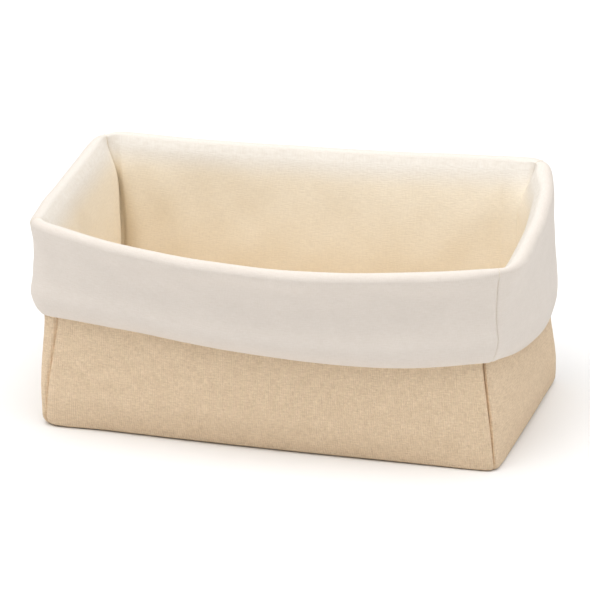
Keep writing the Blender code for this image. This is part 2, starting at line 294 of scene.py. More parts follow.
def wave_height(bundle, place, height):
    total = 0.0
    for turns, per_mm, phase, size in bundle:
        cycles = turns * place / LOOP_LENGTH + per_mm * height
        total = total + size * np.sin(2 * math.pi * cycles + phase)
    return total


WALL_WAVES = waves(seed=11, count=14, shortest=45.0, longest=150.0, steepness=0.0025)
CUFF_WAVES = waves(seed=23, count=16, shortest=26.0, longest=90.0, steepness=0.0026)
LINING_WAVES = waves(seed=37, count=14, shortest=30.0, longest=110.0, steepness=0.0026)


def ramp(x, low, high):
    """0 below low, 1 above high, and a smooth step between."""
    t = np.clip((x - low) / (high - low), 0.0, 1.0)
    return t * t * (3 - 2 * t)


def belly(place, z):
    """The soft wall bellies out above its foot and leans in below, least at the corners."""
    stiff = 1 - STIFF_FRONT_RIGHT * near(from_corner(place, 1), STIFF_WIDTH)
    stiff = stiff - at_corners(STIFF_BACK, place, STIFF_BACK_WIDTH)
    at_front_left = near(from_corner(place, 0), FULL_WIDTH)
    out = BELLY * near(z - BELLY_HEIGHT, BELLY_WIDTH) * (1 - at_front_left)
    lean = LEAN * np.clip(1 - z / BELLY_HEIGHT, 0.0, 1.0) ** 2
    full = FULL_FRONT_LEFT * at_front_left * (1 - ramp(z, 75.0, 125.0))
    lost = LEAN_LOST_AT_LEFT * near(from_corner(place, 0), LEFT_WIDTH)
    return (out - lean * (1 - lost)) * stiff + full + full_back_left(place, z)


def full_back_left(place, z):
    """The back left corner fills out. The lining on the back stays behind."""
    height = ramp(z, 20.0, 70.0) * (1 - ramp(z, 95.0, 140.0))
    return FULL_BACK_LEFT * near(from_corner(place, 3), FULL_BACK_WIDTH) * height


def wall_relief(place, z):
    """How far all the layers of the wall stand out together."""
    return wave_height(WALL_WAVES, place, z) * ramp(z, 4.0, 30.0) + belly(place, z)


def groove(distance, depth, width):
    """The cloth rolls inwards to a seam: a quarter of an ellipse that ends upright in the seam."""
    t = np.clip(1 - distance / width, 0.0, 1.0)
    return -depth * (1 - np.sqrt(np.clip(1 - t * t, 0.0, 1.0)))


# ---------------------------------------------------------------- rows of the three layers

# Each row is (part, value, shift): where it lies in its layer's profile, and how far the corner
# seams have moved there, from 0 at the floor to 1 at the crest and 2 at the hem.
ROW_COUNTS = {
    "lining": {"edge": 7, "wall": 44, "roll": 14, "upper": 5, "lower": 18, "fold": 9, "leg": 2},
    "shell": {"edge": 7, "wall": 44, "roll": 6, "upper": 2, "lower": 8},
    "wadding": {"wall": 16, "roll": 6, "upper": 2, "lower": 8},
}
SHIFTS = {"edge": (0.0, 0.0), "wall": (0.0, 1.0), "roll": (1.0, 1.0), "upper": (1.0, 1.2),
          "lower": (1.2, 2.0), "fold": (2.0, 2.0), "leg": (2.0, 2.0)}


def profile_rows(counts):
    """A layer's rows, and the numbers of the rows where it is cut into pieces."""
    rows, cuts = [], []
    for part, count in counts.items():
        low, high = SHIFTS[part]
        first = 0 if not rows or part == "roll" else 1
        rows += [(part, k / count, low + (high - low) * k / count) for k in range(first, count + 1)]
        if part in ("wall", "upper"):
            cuts.append(len(rows) - 1)
    return rows, cuts


LAYER_ROWS = {layer: profile_rows(counts) for layer, counts in ROW_COUNTS.items()}

# Where the corner seams lie, in millimetres onto the corner's own side, at each of these rows.
SHIFT_ROWS = (0.0, 1.0, 1.2, 1.7, 2.0)
SHELL_SHIFTS = ((1, 13, 13, 13, 13), (0.5, -7, -7, -7, -7), (0, 3, 3, 3, 3), (0, -4, -4, -4, -4))
LINING_SHIFTS = ((2, -5, -6, -8, -9), (-2, -6, -3.5, 1, 0.5), (0, 1, 1, 2, 2), (9, 2, 1, -1, -2))
SEAM_SHIFTS = {"shell": SHELL_SHIFTS, "lining": LINING_SHIFTS}
# The wadding stops short of both seams: where it starts and ends, from its side's two corners.
WADDING_STARTS = (21.0, 9.0, 11.0, 19.0)
WADDING_ENDS = (-17.0, -9.0, -13.0, -14.0)


def edge_radius(place):
    return EDGE_RADIUS + at_corners(EDGE_RADIUS_AT_CORNER - EDGE_RADIUS, place, EDGE_CORNER_WIDTH)


def hanging_face(u, v):
    """How far out the cuff's face stands, from 0 at its crest to 1 at its hem.

    It is hollow under the crest, puffs out over the hem and curls in to the shell. On the right it
    slopes out from the crest on.
    """
    proud = lookup(PROUD, u) - ROLL_OUT
    sloping = lookup(SLOPING, u)
    middle = 4 * (u % 1) * (1 - u % 1)
    hollow = HOLLOW * (0.7 + 0.5 * middle) * (ramp(v, 0.0, 0.24) - ramp(v, 0.34, 0.62))
    dent = DENT * near(from_corner(place_of(u), 1) - DENT_PLACE, DENT_WIDTH) * near(v - 0.22, 0.13)
    low_puff = proud * ramp(v, 0.56, 0.79) - hollow - dent
    slope = proud * (0.75 * ramp(v, -0.1, 0.5) + 0.25 * ramp(v, 0.6, 0.82))
    full = near(from_corner(place_of(u), 0), FULL_CUFF_WIDTH) * (ramp(v, 0.1, 0.5) - ramp(v, 0.72, 1.0))
    face = ROLL_OUT + low_puff * (1 - sloping) + slope * sloping + FULL_CUFF * full
    inwards = ROLL_OUT + proud - HEM_TOUCH - HEM_RADIUS * (1 + math.cos(HEM_TURN))
    s = CURL_REACH * np.clip((v - CURL_FROM) / (1 - CURL_FROM), 0.0, 1.0)
    curl = (1 - np.sqrt(1 - s * s)) / (1 - math.sqrt(1 - CURL_REACH**2))
    return face - inwards * curl


def share_down(u, z):
    """How far down the cuff's face a height is, from 0 at the crest to 1 at the hem."""
    crest = lookup(CREST, u)
    return (crest - z) / (crest - hem_end(u))


def hem_end(u):
    """Height where the hanging face meets the hem's fold."""
    return lookup(HEM, u) + HEM_RADIUS * (1 - math.sin(HEM_TURN))


def hanging_height(part, t, high, low):
    """Height in the hanging part of the cuff, whose upper and lower rows meet at the cut."""
    start, end = (high, CUT_HEIGHT) if part == "upper" else (CUT_HEIGHT, low)
    return start + (end - start) * t


def arc(d, z, radius, a):
    return d + radius * math.cos(a), z + radius * math.sin(a)


def lining_profile(part, t, u, place):
    """Face and back of the cream cloth, as (d, z, d, z), and the length from the crest."""
    crest = lookup(CREST, u)
    if part == "edge":
        a = math.pi / 2 * t
        d = LINING_IN - FILLET * (1 - math.sin(a))
        z = FLOOR_TOP + FILLET * (1 - math.cos(a))
        return d, z, d + CLOTH * math.sin(a), z - CLOTH * math.cos(a), z - crest - QUARTER_ROLL
    if part == "wall":
        bottom = FLOOR_TOP + FILLET
        z = bottom + (crest - LINING_DROP - bottom) * t
        return LINING_IN, z, LINING_IN + CLOTH, z, z - crest - QUARTER_ROLL
    if part == "roll":
        a = ROLL_TURN * (1 - t)
        radius = ROLL_RADIUS - pinch(place)
        centre = ROLL_MIDDLE, crest + PINCH_RISE * pinch(place)
        return *arc(*centre, radius, a), *arc(*centre, radius - CLOTH, a), QUARTER_ROLL * (2 * t - 1)
    end = hem_end(u)
    if part in ("upper", "lower"):
        z = hanging_height(part, t, crest, end)
        face = hanging_face(u, share_down(u, z))
        return face, z, face - CLOTH, z, QUARTER_ROLL + crest - z
    length = QUARTER_ROLL + crest - end
    centre = HEM_TOUCH + HEM_RADIUS, lookup(HEM, u) + HEM_RADIUS
    if part == "fold":
        a = -HEM_TURN - (math.pi - HEM_TURN) * t
        face, back = arc(*centre, HEM_RADIUS, a), arc(*centre, HEM_RADIUS - CLOTH, a)
        return *face, *back, length - HEM_RADIUS * (a + HEM_TURN)
    z = centre[1] + HEM_TURN_UP * t
    d = HEM_TOUCH + (HEM_LEG - HEM_TOUCH) * t
    return d, z, d + CLOTH, z, length + math.pi * HEM_RADIUS + HEM_TURN_UP * t


def shell_profile(part, t, u, place):
    """Face and back of the beige cloth, which goes on behind the cuff as its backing."""
    crest = lookup(CREST, u)
    if part == "edge":
        radius = edge_radius(place)
        a = math.pi / 2 * t
        d = -radius * (1 - math.sin(a))
        z = radius * (1 - math.cos(a)) + FOOT_GAP
        inner = radius - CLOTH
        back = -radius + inner * math.sin(a), radius - inner * math.cos(a) + FOOT_GAP
        return d, z, *back, radius * (a - 1)
    bottom = edge_radius(place) + FOOT_GAP
    top = crest - ROLL_START_DROP
    if part == "wall":
        z = bottom + (top - bottom) * t
        d = -BEHIND_CUFF * ramp(z, 86.0, 104.0) * (1 - ramp(z, top - 8.0, top))
        return d, z, d - CLOTH, z, z
    core = BACKING_IN / 2
    high = crest - BACKING_DROP
    if part == "roll":
        a = math.pi * (1 - t)
        return *arc(core, high, core, a), *arc(core, high, core + CLOTH, a), crest
    z = hanging_height(part, t, high, lookup(HEM, u) + HEM_HIDDEN)
    return BACKING_IN, z, BACKING_IN + CLOTH, z, 2 * crest - z


def padding(below_crest):
    """How far inwards the wadding holds the lining, by the distance below the crest."""
    return PADDING * (1 - np.exp(-np.maximum(below_crest + PADDING_ABOVE, 0.0) / PADDING_LENGTH))


def wadding_profile(part, t, u, place):
    """Both faces of the wadding."""
    crest = lookup(CREST, u)
    if part == "wall":
        top = crest - ROLL_START_DROP
        z = FLOOR_TOP + 2 + (top - FLOOR_TOP - 2) * t
        d = WADDING_OUT - 0.8 * BEHIND_CUFF * ramp(z, 82.0, 100.0) * (1 - ramp(z, top - 8.0, top))
        thick = 0.4 * padding(crest - z) * ramp(t, 0.0, 0.3)
        return d, z, np.minimum(WADDING_IN - thick, d - 0.4), z, z
    if part == "roll":
        a = math.pi * (1 - t)
        radius = ROLL_RADIUS - CLOTH - GAP - pinch(place)
        centre = ROLL_MIDDLE, crest + PINCH_RISE * pinch(place)
        face = arc(*centre, radius, a)
        return *face, *arc(*centre, radius - WADDING_IN_ROLL, a), face[1]
    z = hanging_height(part, t, crest, lookup(HEM, u) + HEM_HIDDEN)
    face = hanging_face(u, share_down(u, z)) - CLOTH - GAP
    return face, z, np.minimum(BACKING_IN + CLOTH + GAP, face - 0.4), z, z


def wadding_length(part, u, z):
    """The wadding's own distance from the crest, counted as the lining's."""
    crest = lookup(CREST, u)
    return z - crest - QUARTER_ROLL if part == "wall" else QUARTER_ROLL + crest - z


PROFILES = {"lining": lining_profile, "shell": shell_profile, "wadding": wadding_profile}


def squeezed(part, place, v):
    """Where the seams pull the crest together, the wall and the cuff's face follow."""
    if part in ("edge", "wall"):
        return pinch(place) * ramp(v, -QUARTER_ROLL - 24.0, -QUARTER_ROLL)
    if part in ("upper", "lower"):
        return -pinch(place) * (1 - ramp(v, QUARTER_ROLL, QUARTER_ROLL + 22.0))
    return 0.0


def corner_folds(place, up):
    """The lining bridges the back right corner, and folds beside the seam at the back left."""
    low = np.clip(1 - up, 0.0, 1.0)
    at_back_left = from_corner(place, 3)
    fold = -(1.2 + 2.6 * low) * near(at_back_left + 12.0 + 4.0 * low, 7.0 + 3.0 * low)
    second = -4.0 * low * near(at_back_left + 38.0 + 20.0 * low, 12.0)
    return bridge(place) * (1 - 0.65 * ramp(up, 0.8, 1.0)) + (fold + second) * (1 - ramp(up, 0.86, 1.0))


def bridge(place):
    at_back_right = from_corner(place, 2)
    reach = np.where(at_back_right > 0, BRIDGE_ON_BACK, BRIDGE_ON_RIGHT)
    across = np.clip(1 - np.sqrt(at_back_right**2 + 36.0) / reach, 0.0, 1.0)
    return -BRIDGE * across**0.85


def lining_relief(part, t, place, away, v):
    """Folds and softness of the cream cloth, by the distance from the seams at both ends."""
    from_start, to_end = away
    nearest = np.minimum(from_start, to_end)
    calm = ramp(nearest, 0.0, 14.0)
    relief = squeezed(part, place, v)
    if part in ("edge", "wall"):
        up = t if part == "wall" else 0.0
        relief = relief + wave_height(LINING_WAVES, place, v) * calm * (1 - up**6)
        relief = relief + corner_folds(place, up)
        padded = padding(-QUARTER_ROLL - v) * ramp(up, -0.3, 0.3)
        relief = relief - padded * (0.5 + 0.5 * calm)
        deep = near(from_corner(place, 3), 14.0) * (1 - 0.5 * up)
        return np.minimum(relief - groove(nearest, 1.5 + 2.0 * deep, 2.2 + 3.5 * deep), DEEPEST)
    if part == "roll":
        share = 0.5 - 0.5 * math.cos(math.pi * t)
        relief = relief + 0.35 * bridge(place) * (1 - ramp(t, -0.1, 0.6))
        return relief + share * 0.5 * wave_height(CUFF_WAVES, place, v) * calm
    if part == "leg":
        return relief + 0 * place
    size = {"upper": min(1.0, 0.5 + t), "lower": 1.0, "fold": max(0.0, 1.0 - 2 * t)}[part]
    return relief + size * wave_height(CUFF_WAVES, place, v) * calm + groove(nearest, 1.4, 1.5)


def wadding_relief(part, place, v):
    relief = squeezed(part, place, v)
    if part in ("upper", "lower"):
        relief = relief + wave_height(CUFF_WAVES, place, v)
    return relief


def shell_relief(part, t, place, away, z):
    from_start, to_end = away
    nearest = np.minimum(from_start, to_end)
    if part not in ("edge", "wall"):
        return 0 * place
    up = t if part == "wall" else 0.0
    pucker = 0.28 * np.sin(2 * math.pi * z / 9.5 + 1.3 * np.sin(z / 17.0)) * np.exp(-nearest / 5.0)
    relief = pucker * ramp(nearest, 0.0, 2.5) * ramp(z, 8.0, 20.0)
    at_front_right = near(from_corner(place, 1), 25.0)
    at_front_left = near(from_corner(place, 0), 25.0)
    seen = 1 - ramp(up, 0.64, 0.8)
    crease = 2.2 + 5.0 * up * seen * at_front_right
    relief = relief - crease * np.clip(1 - nearest / (1.8 + 1.6 * up * at_front_right), 0.0, 1.0) ** 1.6
    hollow = (0.6 + 2.6 * up) * at_front_right + (0.8 + 1.4 * up) * at_front_left
    return relief - hollow * np.exp(-from_start / 5.0) * (1 - np.exp(-nearest / 1.5))


def kept_off(d, least):
    """d where it is well above least, and never below it."""
    return least + np.logaddexp(0.0, 3.0 * (d - least)) / 3.0


def panel_shares(side, fine):
    """Where a panel's columns stand between its two seams: close together near both."""
    length = SIDE_LENGTHS[side]
    if not fine:
        return np.linspace(0, 1, round(length / COARSE_COLUMN) + 1)
    close = CLOSE_COLUMNS[-1]
    count = round((length - 2 * close) / FINE_COLUMN)
    middle = np.linspace(close, length - close, count + 1)[1:-1]
    return np.concatenate([CLOSE_COLUMNS, middle, length - CLOSE_COLUMNS[::-1]]) / length


def seam_place(layer, corner, shift):
    """Where a corner's seam runs at this shift, in millimetres along the loop."""
    moved = np.interp(shift, SHIFT_ROWS, SEAM_SHIFTS[layer][corner % 4])
    return CORNER_PLACES[corner % 4] + (LOOP_LENGTH if corner == 4 else 0.0) + moved


def layer_grid(layer, side):
    """Face and back points, texture coordinates and face normals of one side's cloth."""
    rows, _ = LAYER_ROWS[layer]
    fine = layer != "wadding"
    shares = panel_shares(side, fine)
    face, back, texture = [], [], []
    for part, t, shift in rows:
        if fine:
            start, end = seam_place(layer, side, shift), seam_place(layer, side + 1, shift)
        else:
            start = CORNER_PLACES[side] + WADDING_STARTS[side]
            end = CORNER_PLACES[side + 1] + WADDING_ENDS[side]
        place = start + (end - start) * shares
        u = u_of(place)
        profile = PROFILES[layer](part, t, u, place)
        d_face, z_face, d_back, z_back, v = (value + 0 * u for value in profile)
        relief = wall_relief(place, z_face)
        away = place - start, end - place
        length, least = v, LEAST_CUFF
        if layer == "lining":
            own = lining_relief(part, t, place, away, v)
            on_back = ramp(-from_corner(place, 3), 3.0, 26.0) * (part == "wall")
            own = own - LINING_STAYS * full_back_left(place, z_face) * on_back
        elif layer == "wadding":
            length, least = wadding_length(part, u, z_face), LEAST_CUFF - CLOTH - GAP
            own = wadding_relief(part, place, length)
        else:
            own = shell_relief(part, t, place, away, z_face)
        if layer != "shell" and part in ("upper", "lower"):
            held_off = 1 - ramp(share_down(u, z_face), 0.75, 0.92)
            least = (least + squeezed(part, place, length)) * held_off
            own = kept_off(d_face + own, least) - d_face
            if layer == "wadding":
                d_back = np.minimum(d_back, d_face + own - GAP) - own
        face.append(wall_points(u, d_face + relief + own, z_face))
        back.append(wall_points(u, d_back + relief + own, z_back))
        texture.append(np.stack([place, v], 1))
    face, back, texture = np.array(face), np.array(back), np.array(texture)
    across = np.gradient(face, axis=1)
    along = np.gradient(face, axis=0)
    normals = np.cross(across, along)
    normals /= np.maximum(np.linalg.norm(normals, axis=2), 1e-9)[:, :, None]
    if layer == "lining":
        normals = normals * -1.0
    return face, back, texture, normals


# ---------------------------------------------------------------- meshes


def grid_faces(rows, columns, first, flipped):
    """Quads of a grid of points, as an array of four indices each."""
    index = first + np.arange(rows * columns).reshape(rows, columns)
    quads = np.stack([index[:-1, :-1], index[:-1, 1:], index[1:, 1:], index[1:, :-1]], -1).reshape(-1, 4)
    return quads[:, ::-1] if flipped else quads


def border_faces(rows, columns, flipped):
    """Quads that close the edge between the face grid and the back grid."""
    index = np.arange(rows * columns).reshape(rows, columns)
    ring = np.concatenate([index[0, :-1], index[:-1, -1], index[-1, :0:-1], index[:0:-1, 0]])
    after = np.roll(ring, -1)
    behind = rows * columns
    quads = np.stack([ring, ring + behind, after + behind, after], -1)
    return quads[:, ::-1] if flipped else quads


def mesh_object(name, points, faces, material, texture=None, normals=None):
    mesh = bpy.data.meshes.new(name)
    mesh.from_pydata([tuple(p) for p in points * MM], [], [tuple(int(k) for k in f) for f in faces])
    mesh.validate()
    mesh.shade_smooth()
    obj = bpy.data.objects.new(name, mesh)
    bpy.context.collection.objects.link(obj)
    mesh.materials.append(material)
    if texture is not None:
        corners = np.zeros(len(mesh.loops), int)
        mesh.loops.foreach_get("vertex_index", corners)
        layer = mesh.uv_layers.new(name="cloth")
        layer.data.foreach_set("uv", (texture[corners] * MM).astype(np.float32).ravel())
    if normals is None:
        mesh.set_sharp_from_angle(angle=math.radians(50))
    else:
        mesh.normals_split_custom_set([tuple(n) for n in normals])
    return obj


def face_normal(points, quads):
    a = points[quads[:, 2]] - points[quads[:, 0]]
    b = points[quads[:, 3]] - points[quads[:, 1]]
    n = np.cross(a, b)
    return n / np.maximum(np.linalg.norm(n, axis=1), 1e-12)[:, None]


def cloth_piece(name, grid, start, end, material, inside_out):
    """The rows from start to end of a layer as one closed sheet, with the whole layer's normals."""
    face, back, texture, normals = (part[start : end + 1] for part in grid)
    rows, columns = face.shape[:2]
    count = rows * columns
    points = np.concatenate([face.reshape(-1, 3), back.reshape(-1, 3)])
    front = grid_faces(rows, columns, 0, inside_out)
    rear = grid_faces(rows, columns, count, not inside_out)
    border = border_faces(rows, columns, inside_out)
    flat = normals.reshape(-1, 3)
    corner_normals = np.concatenate([
        flat[front.ravel()],
        -flat[rear.ravel() - count],
        np.repeat(face_normal(points, border), 4, axis=0),
    ])
    faces = np.concatenate([front, rear, border])
    both = np.concatenate([texture.reshape(-1, 2)] * 2)
    return mesh_object(name, points, faces, material, both, corner_normals)


def resampled(path, step):
    """Points at an even distance along a path, and how far along each is."""
    lengths = np.concatenate([[0.0], np.cumsum(np.linalg.norm(np.diff(path, axis=0), axis=1))])
    count = max(4, round(lengths[-1] / step))
    along = np.linspace(0, lengths[-1], count + 1)
    return np.stack([np.interp(along, lengths, path[:, k]) for k in range(3)], 1), along


def thread_piece(name, path, material, radius, closed=False):
    """A line of stitches: one thread that swells in each stitch and dips between them."""
    points, along = resampled(path, STITCH / 5)
    if closed:
        points, along = points[:-1], along[:-1]
        ahead, behind = np.roll(points, -1, 0), np.roll(points, 1, 0)
    else:
        ahead = np.concatenate([points[1:], points[-1:]])
        behind = np.concatenate([points[:1], points[:-1]])
    way = ahead - behind
    way /= np.linalg.norm(way, axis=1)[:, None]
    sideways = np.cross(way, (0.31, 0.17, 0.93) if closed else (0.61, -0.77, 0.19))
    sideways /= np.linalg.norm(sideways, axis=1)[:, None]
    upright = np.cross(sideways, way)
    swell = radius * (0.45 + 0.55 * np.abs(np.sin(math.pi * along / STITCH)) ** 0.6)
    rings = []
    for k in range(TUBE_SIDES):
        a = 2 * math.pi * k / TUBE_SIDES
        rings.append(points + (sideways * math.cos(a) + upright * math.sin(a)) * swell[:, None])
    rings = np.stack(rings, 1)
    count = len(points)
    here = np.arange(count * TUBE_SIDES).reshape(count, TUBE_SIDES)
    there = np.roll(here, -1, axis=0)
    quads = np.stack([here, np.roll(here, -1, axis=1), np.roll(there, -1, axis=1), there], -1)
    faces = quads[: count if closed else count - 1].reshape(-1, 4).tolist()
    if not closed:
        faces += [here[0, ::-1], here[-1]]
    texture = np.stack([np.tile(np.arange(TUBE_SIDES) * 0.3, count), np.repeat(along, TUBE_SIDES)], 1)
    return mesh_object(name, rings.reshape(-1, 3), faces, material, texture)


PLATE_RINGS = (0.15, 0.3, 0.45, 0.6, 0.72, 0.82, 0.9, 0.95, 0.98, 1.0)


def plate_piece(name, edge, bottom, top, material, round_edge, sag=0.0, texture_from=(0.0, 0.0)):
    """A floor layer that follows the walls, soft at its rim."""
    place = np.linspace(0, LOOP_LENGTH, 241)[:-1]
    u = u_of(place)
    rim = wall_points(u, edge(place), 0 * u + bottom)[:, :2]
    centre = rim.mean(axis=0)
    skins = []
    for height, turn in ((bottom, round_edge), (top, -round_edge)):
        for ring in PLATE_RINGS:
            plan = centre + (rim - centre) * ring
            sunk = sag * wave_height(LINING_WAVES, plan[:, 0] * 1.3, plan[:, 1])
            z = height + turn * ramp(ring, 0.955, 1.0) + sunk
            skins.append(np.concatenate([plan, z[:, None]], 1))
    count = len(place)
    rings = len(PLATE_RINGS)
    points = np.concatenate(skins + [[(*centre, bottom)], [(*centre, top)]])
    here = np.arange(2 * rings * count).reshape(2, rings, count)
    after = np.roll(here, -1, axis=2)
    faces = np.stack([here[0, -1], after[0, -1], after[1, -1], here[1, -1]], -1).tolist()
    for skin, way in ((0, 1), (1, -1)):
        middle = np.full(count, 2 * rings * count + skin)
        fan = np.stack([middle, after[skin, 0], here[skin, 0]], -1)
        bands = np.stack([here[skin, :-1], after[skin, :-1], after[skin, 1:], here[skin, 1:]], -1)
        faces += fan[:, ::way].tolist() + bands.reshape(-1, 4)[:, ::way].tolist()
    return mesh_object(name, points, faces, material, points[:, :2] + np.array(texture_from))


# ---------------------------------------------------------------- materials


def srgb(*levels):
    """A colour in 0..255 steps as linear light."""
    shares = [x / 255 for x in levels]
    return (*(s / 12.92 if s <= 0.04045 else ((s + 0.055) / 1.055) ** 2.4 for s in shares), 1.0)


def add_node(tree, kind, inputs=None, **settings):
    made = tree.nodes.new(kind)
    for key, value in settings.items():
        setattr(made, key, value)
    for key, value in (inputs or {}).items():
        if isinstance(value, bpy.types.NodeSocket):
            tree.links.new(value, made.inputs[key])
        else:
            made.inputs[key].default_value = value
    return made


def calc(tree, operation, a, b=0.0):
    return add_node(tree, "ShaderNodeMath", {0: a, 1: b}, operation=operation).outputs[0]


def weighted(tree, *pairs):
    """A sum of values, each times its weight."""
    total = 0.0
    for value, weight in pairs:
        sockets = {0: value, 1: weight, 2: total}
        total = add_node(tree, "ShaderNodeMath", sockets, operation="MULTIPLY_ADD").outputs[0]
    return total


def mapped(tree, value, start, end, low=0.0, high=1.0, kind="LINEAR"):
    """The value's way from start to end, as one from low to high."""
    sockets = {0: value, 1: start, 2: end, 3: low, 4: high}
    return add_node(tree, "ShaderNodeMapRange", sockets, interpolation_type=kind).outputs[0]


def blend_colour(tree, factor, a, b):
    return add_node(tree, "ShaderNodeMix", {0: factor, 6: a, 7: b}, data_type="RGBA").outputs[2]


def cloth_coordinates(tree):
    uv = add_node(tree, "ShaderNodeUVMap", uv_map="cloth").outputs["UV"]
    split = add_node(tree, "ShaderNodeSeparateXYZ", {0: uv})
    return uv, split.outputs[0], split.outputs[1]


def grain(tree, uv, across_mm, along_mm, detail=2.0, seed=0.0):
    """Noise whose spots have this size along and up the cloth."""
    scale = (1 / (across_mm * MM), 1 / (along_mm * MM), 1.0)
    sockets = {"Vector": uv, "Scale": scale, "Location": (seed, seed * 1.7, seed)}
    place = add_node(tree, "ShaderNodeMapping", sockets).outputs[0]
    noise = add_node(tree, "ShaderNodeTexNoise", {"Vector": place, "Scale": 1.0, "Detail": detail})
    return noise.outputs["Fac"]


def knit_height(tree, across, up, wale_mm, course_mm):
    """Height of plain knitting: upright wales, each a column of leaning stitches."""
    wale = calc(tree, "FRACT", calc(tree, "DIVIDE", across, wale_mm * MM))
    from_middle = calc(tree, "ABSOLUTE", calc(tree, "SUBTRACT", calc(tree, "MULTIPLY", wale, 2.0), 1.0))
    ridge = calc(tree, "SUBTRACT", 1.0, calc(tree, "POWER", from_middle, 2.0))
    lean = calc(tree, "MULTIPLY", from_middle, 2.6)
    phase = calc(tree, "ADD", calc(tree, "MULTIPLY", up, 2 * math.pi / (course_mm * MM)), lean)
    stitch = calc(tree, "MULTIPLY", calc(tree, "ADD", calc(tree, "SINE", phase), 1.0), 0.5)
    return calc(tree, "MULTIPLY", ridge, calc(tree, "ADD", calc(tree, "MULTIPLY", stitch, 0.5), 0.5))


def new_material(name, roughness, sheen):
    material = bpy.data.materials.new(name)
    material.use_nodes = True
    tree = material.node_tree
    shader = tree.nodes["Principled BSDF"]
    shader.inputs["Roughness"].default_value = roughness
    shader.inputs["Sheen Weight"].default_value = sheen
    shader.inputs["Sheen Roughness"].default_value = 0.5
    shader.inputs["Specular IOR Level"].default_value = 0.25
    return material, tree, shader


def finish_cloth(tree, shader, colour, height, depth_mm, strength):
    """Links a colour and a bump of this depth to the shader."""
    bump = {"Height": height, "Distance": depth_mm * MM, "Strength": strength}
    tree.links.new(colour, shader.inputs["Base Color"])
    tree.links.new(add_node(tree, "ShaderNodeBump", bump).outputs[0], shader.inputs["Normal"])


def shell_material():
    """Beige ribbed knit of mixed fibres: light and dark flecks over fine upright wales, with painted
    shade in the valleys between the wales.
    """
    material, tree, shader = new_material("shell_knit", roughness=0.92, sheen=0.12)
    shader.inputs["Sheen Tint"].default_value = srgb(240, 225, 200)
    uv, across, up = cloth_coordinates(tree)
    knit = knit_height(tree, across, up, wale_mm=1.5, course_mm=1.15)
    upright = grain(tree, uv, 0.9, 4.0, seed=3.0)
    level = grain(tree, uv, 4.2, 0.9, seed=11.0)
    mottle = grain(tree, uv, 11.0, 8.0, detail=3.0, seed=23.0)
    fleck = grain(tree, uv, 1.6, 1.3, detail=1.0, seed=31.0)
    mixed = weighted(tree, (upright, 0.38), (level, 0.44), (mottle, 0.18))
    spread = mapped(tree, mixed, 0.36, 0.64)
    colour = blend_colour(tree, spread, srgb(219, 193, 161), srgb(247, 223, 192))
    dark = mapped(tree, fleck, 0.58, 0.72, high=0.3)
    colour = blend_colour(tree, dark, colour, srgb(204, 176, 142))
    pale = mapped(tree, fleck, 0.40, 0.27, high=0.35)
    colour = blend_colour(tree, pale, colour, srgb(255, 240, 216))
    # Painted shade: the valleys between the knit's wales are darkened towards brown.
    painted_valley_shade = calc(tree, "SUBTRACT", 1.0, knit)
    colour = blend_colour(tree, calc(tree, "MULTIPLY", painted_valley_shade, 0.14), colour, srgb(170, 140, 108))
    height = weighted(tree, (knit, 1.0), (upright, 0.8))
    finish_cloth(tree, shader, colour, height, depth_mm=0.45, strength=0.8)
    return material


# Where the lining's painted light changes: a painted highlight over the crest, painted warm bounce light
# inside and painted shade deeper down. Measured over the cloth from the crest, inside is below 0.
PAINTED_HIGHLIGHT_FROM, PAINTED_HIGHLIGHT_TO = 0.004, -0.010
PAINTED_BOUNCE_FROM, PAINTED_BOUNCE_TO = -0.009, -0.028
PAINTED_SHADE_FROM, PAINTED_SHADE_TO = -0.045, -0.125


def lining_material():
    """Cream jersey with painted light: painted near white where the light reaches it over the crest,
    painted warmer bounce light down inside the bin, and painted shade deeper down.
    """
    material, tree, shader = new_material("lining_jersey", roughness=0.9, sheen=0.1)
    uv, across, up = cloth_coordinates(tree)
    knit = knit_height(tree, across, up, wale_mm=1.0, course_mm=0.8)
    level = grain(tree, uv, 5.0, 0.7, seed=5.0)
    upright = grain(tree, uv, 0.8, 3.0, seed=15.0)
    mottle = grain(tree, uv, 16.0, 12.0, detail=2.0, seed=9.0)
    # Painted bounce light: below the crest inside the bin the cloth turns warmer.
    painted_bounce_light = mapped(tree, up, PAINTED_BOUNCE_FROM, PAINTED_BOUNCE_TO, kind="SMOOTHSTEP")
    # Painted highlight: over the crest the cloth turns near white.
    pale = mapped(tree, up, PAINTED_HIGHLIGHT_FROM, PAINTED_HIGHLIGHT_TO, kind="SMOOTHSTEP")
    outside = blend_colour(tree, mottle, srgb(222, 213, 204), srgb(230, 221, 212))
    outside = blend_colour(tree, pale, outside, srgb(241, 236, 228))
    # Inside, the same cloth is painted warmer and brighter for the light bouncing in the bin.
    inside = blend_colour(tree, mottle, srgb(246, 234, 212), srgb(251, 241, 222))
    # Painted shade: deeper inside, the cream turns darker and warmer.
    deep = mapped(tree, up, PAINTED_SHADE_FROM, PAINTED_SHADE_TO, kind="SMOOTHSTEP")
    inside = blend_colour(tree, deep, inside, srgb(236, 220, 194))
    colour = blend_colour(tree, painted_bounce_light, outside, inside)
    streak = weighted(tree, (level, 0.6), (upright, 0.4))
    shade = mapped(tree, streak, 0.35, 0.62, low=0.24, high=0.0)
    colour = blend_colour(tree, shade, colour, srgb(206, 193, 177))
    # Painted shade in the valleys between the knit's wales.
    painted_valley_shade = calc(tree, "MULTIPLY", calc(tree, "SUBTRACT", 1.0, knit), 0.03)
    colour = blend_colour(tree, painted_valley_shade, colour, srgb(190, 172, 150))
    height = weighted(tree, (knit, 0.4), (level, 1.3))
    finish_cloth(tree, shader, colour, height, depth_mm=0.22, strength=0.6)
    return material


